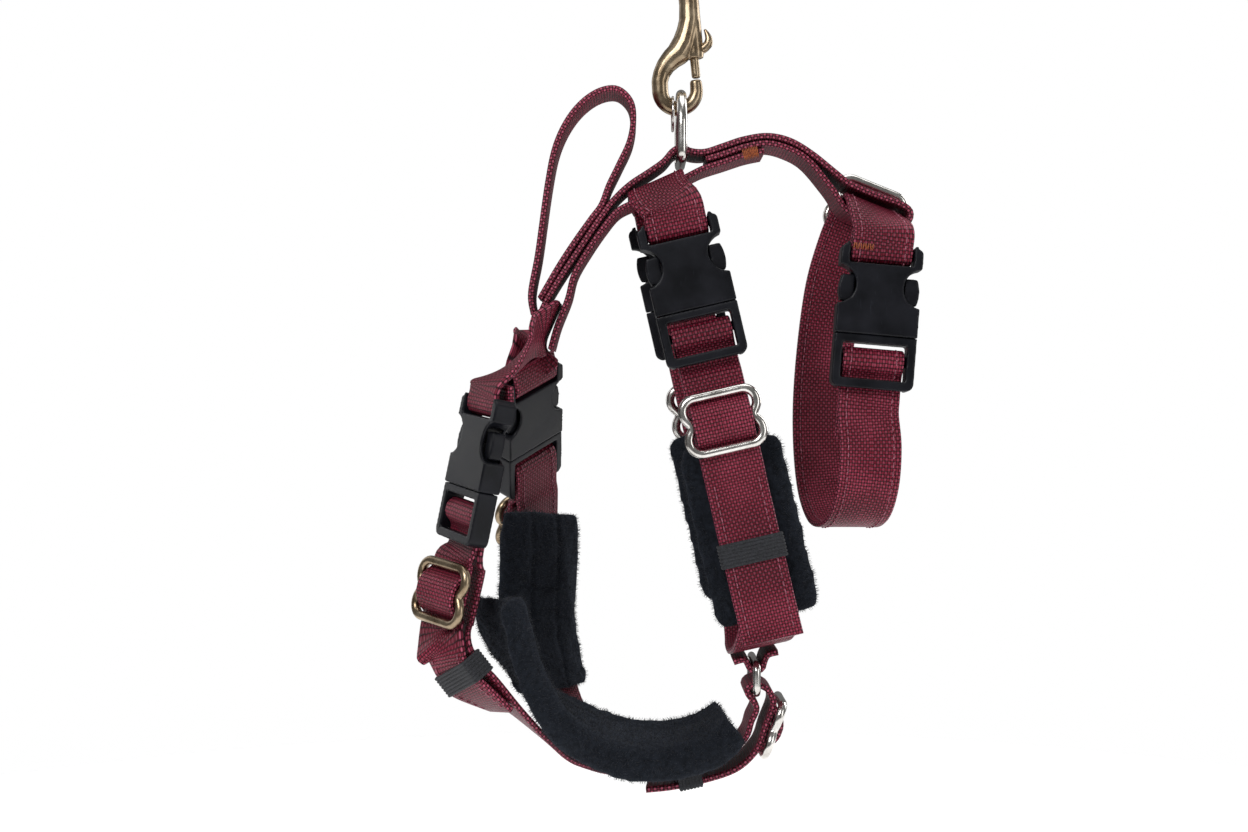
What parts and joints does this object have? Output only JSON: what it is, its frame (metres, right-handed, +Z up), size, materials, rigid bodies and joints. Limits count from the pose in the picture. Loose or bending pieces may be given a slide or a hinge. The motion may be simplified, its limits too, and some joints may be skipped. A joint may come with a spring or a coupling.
{
  "type": "padded dog harness",
  "caption": "Fleece-padded webbing dog harness with side-release buckles, metal strap sliders and a top handle loop, hanging from a swivel bolt snap.",
  "frame": {"origin": "centre of the hole in the snap's lead eye", "axes": "+Z up as it hangs, -X towards the dog's head end, -Y the near side; +Y along the lead eye's hole"},
  "size_m": [0.1938, 0.1271, 0.3507],
  "materials": {
    "webbing": "woven nylon",
    "fleece": "brushed pile",
    "elastic": "ribbed",
    "acetal": "fine satin",
    "nickel": "polished nickel plate"
  },
  "bodies": {
    "lead_eye": {"lead_eye": "nickel"},
    "snap": {"snap_body": "nickel", "snap_spring": "nickel"},
    "bolt": {"snap_bolt": "nickel"},
    "back_ring": {"d_ring": "nickel"},
    "tag": {"tag_ring": "nickel"},
    "harness": {"chest_ring": "nickel", "spine_top_strap": "webbing", "spine_under_strap": "webbing", "handle_loop": "webbing", "girth_top_strap": "webbing", "girth_near_strap": "webbing", "girth_far_strap": "webbing", "neck_top_strap": "webbing", "chest_strap": "webbing", "neck_far_strap": "webbing", "belly_strap": "webbing", "ring_tab": "webbing", "girth_near_pad": "fleece", "girth_far_pad": "fleece", "chest_pad": "fleece", "neck_far_pad": "fleece", "chest_slider": "nickel", "belly_slider": "nickel", "neck_near_keeper": "elastic", "chest_keeper": "elastic", "girth_near_socket": "acetal", "girth_near_plug": "acetal", "girth_far_socket": "acetal", "girth_far_plug": "acetal", "neck_near_socket": "acetal", "neck_near_plug": "acetal", "neck_far_socket": "acetal", "neck_far_plug": "acetal", "belly_socket": "acetal", "belly_plug": "acetal"},
    "girth_near_arm_left": {"girth_near_arm_left": "acetal"},
    "girth_near_arm_right": {"girth_near_arm_right": "acetal"},
    "girth_far_arm_left": {"girth_far_arm_left": "acetal"},
    "girth_far_arm_right": {"girth_far_arm_right": "acetal"},
    "neck_near_arm_left": {"neck_near_arm_left": "acetal"},
    "neck_near_arm_right": {"neck_near_arm_right": "acetal"},
    "neck_far_arm_left": {"neck_far_arm_left": "acetal"},
    "neck_far_arm_right": {"neck_far_arm_right": "acetal"},
    "belly_arm_left": {"belly_arm_left": "acetal"},
    "belly_arm_right": {"belly_arm_right": "acetal"},
    "girth_near_slider": {"girth_near_slider": "nickel"},
    "girth_far_slider": {"girth_far_slider": "nickel"},
    "neck_near_slider": {"neck_near_slider": "nickel"},
    "neck_far_slider": {"neck_far_slider": "nickel"},
    "girth_near_keeper": {"girth_near_keeper": "elastic"},
    "girth_far_keeper": {"girth_far_keeper": "elastic"}
  },
  "joints": [
    {"name": "swivel", "type": "hinge", "parent": "lead_eye", "child": "snap", "pos_m": [0, 0, 0], "axis": [-0.0958, 0, 0.9954], "continuous": true},
    {"name": "bolt_slide", "type": "slide", "parent": "snap", "child": "bolt", "axis": [-0.0958, 0, 0.9954], "range_m": [0, 0.008], "stiffness_N_per_m": 250, "springref_m": -0.002, "deforming": ["snap_spring"]},
    {"name": "ring_swing", "type": "hinge", "parent": "snap", "child": "back_ring", "pos_m": [0, 0, -0.07444], "axis": [1, 0, 0], "range_deg": [-45, 45]},
    {"name": "harness_tilt", "type": "hinge", "parent": "back_ring", "child": "harness", "pos_m": [0, 0, -0.095], "axis": [0, 1, 0], "range_deg": [-20, 14]},
    {"name": "tag_swing", "type": "hinge", "parent": "snap", "child": "tag", "pos_m": [-0.0032, 0, -0.07425], "axis": [1, 0, 0], "range_deg": [-50, 50]},
    {"name": "girth_near_press_left", "type": "hinge", "parent": "harness", "child": "girth_near_arm_left", "pos_m": [-0.00681, -0.02391, -0.15486], "axis": [0.0118, 0.9986, -0.051], "range_deg": [0, 8], "stiffness_Nm_per_rad": 0.15, "springref_deg": -2.86},
    {"name": "girth_near_press_right", "type": "hinge", "parent": "harness", "child": "girth_near_arm_right", "pos_m": [0.0158, -0.02391, -0.14964], "axis": [-0.0118, -0.9986, 0.051], "range_deg": [0, 8], "stiffness_Nm_per_rad": 0.15, "springref_deg": -2.86},
    {"name": "girth_far_press_left", "type": "hinge", "parent": "harness", "child": "girth_far_arm_left", "pos_m": [-0.00981, 0.02391, -0.14986], "axis": [-0.0118, 0.9986, 0.051], "range_deg": [0, 8], "stiffness_Nm_per_rad": 0.15, "springref_deg": -2.86},
    {"name": "girth_far_press_right", "type": "hinge", "parent": "harness", "child": "girth_far_arm_right", "pos_m": [0.0128, 0.02391, -0.14464], "axis": [0.0118, -0.9986, -0.051], "range_deg": [0, 8], "stiffness_Nm_per_rad": 0.15, "springref_deg": -2.86},
    {"name": "neck_near_press_left", "type": "hinge", "parent": "harness", "child": "neck_near_arm_left", "pos_m": [-0.0844, -0.02101, -0.21802], "axis": [0.8438, 0.5081, -0.1727], "range_deg": [0, 8], "stiffness_Nm_per_rad": 0.15, "springref_deg": -2.86},
    {"name": "neck_near_press_right", "type": "hinge", "parent": "harness", "child": "neck_near_arm_right", "pos_m": [-0.07287, -0.041, -0.22045], "axis": [-0.8438, -0.5081, 0.1727], "range_deg": [0, 8], "stiffness_Nm_per_rad": 0.15, "springref_deg": -2.86},
    {"name": "neck_far_press_left", "type": "hinge", "parent": "harness", "child": "neck_far_arm_left", "pos_m": [-0.05333, 0.03935, -0.19879], "axis": [0.7532, -0.5325, -0.3861], "range_deg": [0, 8], "stiffness_Nm_per_rad": 0.15, "springref_deg": -2.86},
    {"name": "neck_far_press_right", "type": "hinge", "parent": "harness", "child": "neck_far_arm_right", "pos_m": [-0.06857, 0.02463, -0.20823], "axis": [-0.7532, 0.5325, 0.3861], "range_deg": [0, 8], "stiffness_Nm_per_rad": 0.15, "springref_deg": -2.86},
    {"name": "belly_press_left", "type": "hinge", "parent": "harness", "child": "belly_arm_left", "pos_m": [0.061, -0.02191, -0.1612], "axis": [-0.0046, 0.9986, -0.0521], "range_deg": [0, 8], "stiffness_Nm_per_rad": 0.15, "springref_deg": -2.86},
    {"name": "belly_press_right", "type": "hinge", "parent": "harness", "child": "belly_arm_right", "pos_m": [0.08411, -0.02191, -0.16322], "axis": [0.0046, -0.9986, 0.0521], "range_deg": [0, 8], "stiffness_Nm_per_rad": 0.15, "springref_deg": -2.86},
    {"name": "girth_near_slider_slide", "type": "slide", "parent": "harness", "child": "girth_near_slider", "axis": [-0.2246, 0.0523, 0.973], "range_m": [-0.005, 0.005]},
    {"name": "girth_far_slider_slide", "type": "slide", "parent": "harness", "child": "girth_far_slider", "axis": [-0.2246, -0.0523, 0.973], "range_m": [-0.005, 0.005]},
    {"name": "neck_near_slider_slide", "type": "slide", "parent": "harness", "child": "neck_near_slider", "axis": [0.1986, 0.0362, 0.9794], "range_m": [-0.002, 0.002]},
    {"name": "neck_far_slider_slide", "type": "slide", "parent": "harness", "child": "neck_far_slider", "axis": [0.0284, -0.5601, 0.828], "range_m": [-0.002, 0.002]},
    {"name": "girth_near_keeper_slide", "type": "slide", "parent": "harness", "child": "girth_near_keeper", "axis": [-0.2246, 0.0523, 0.973], "range_m": [-0.008, 0.008]},
    {"name": "girth_far_keeper_slide", "type": "slide", "parent": "harness", "child": "girth_far_keeper", "axis": [-0.2246, -0.0523, 0.973], "range_m": [-0.008, 0.008]}
  ],
  "couplings": [
    {"joint": "girth_near_press_right", "follows": "girth_near_press_left", "ratio": 1},
    {"joint": "girth_far_press_right", "follows": "girth_far_press_left", "ratio": 1},
    {"joint": "neck_near_press_right", "follows": "neck_near_press_left", "ratio": 1},
    {"joint": "neck_far_press_right", "follows": "neck_far_press_left", "ratio": 1},
    {"joint": "belly_press_right", "follows": "belly_press_left", "ratio": 1}
  ]
}
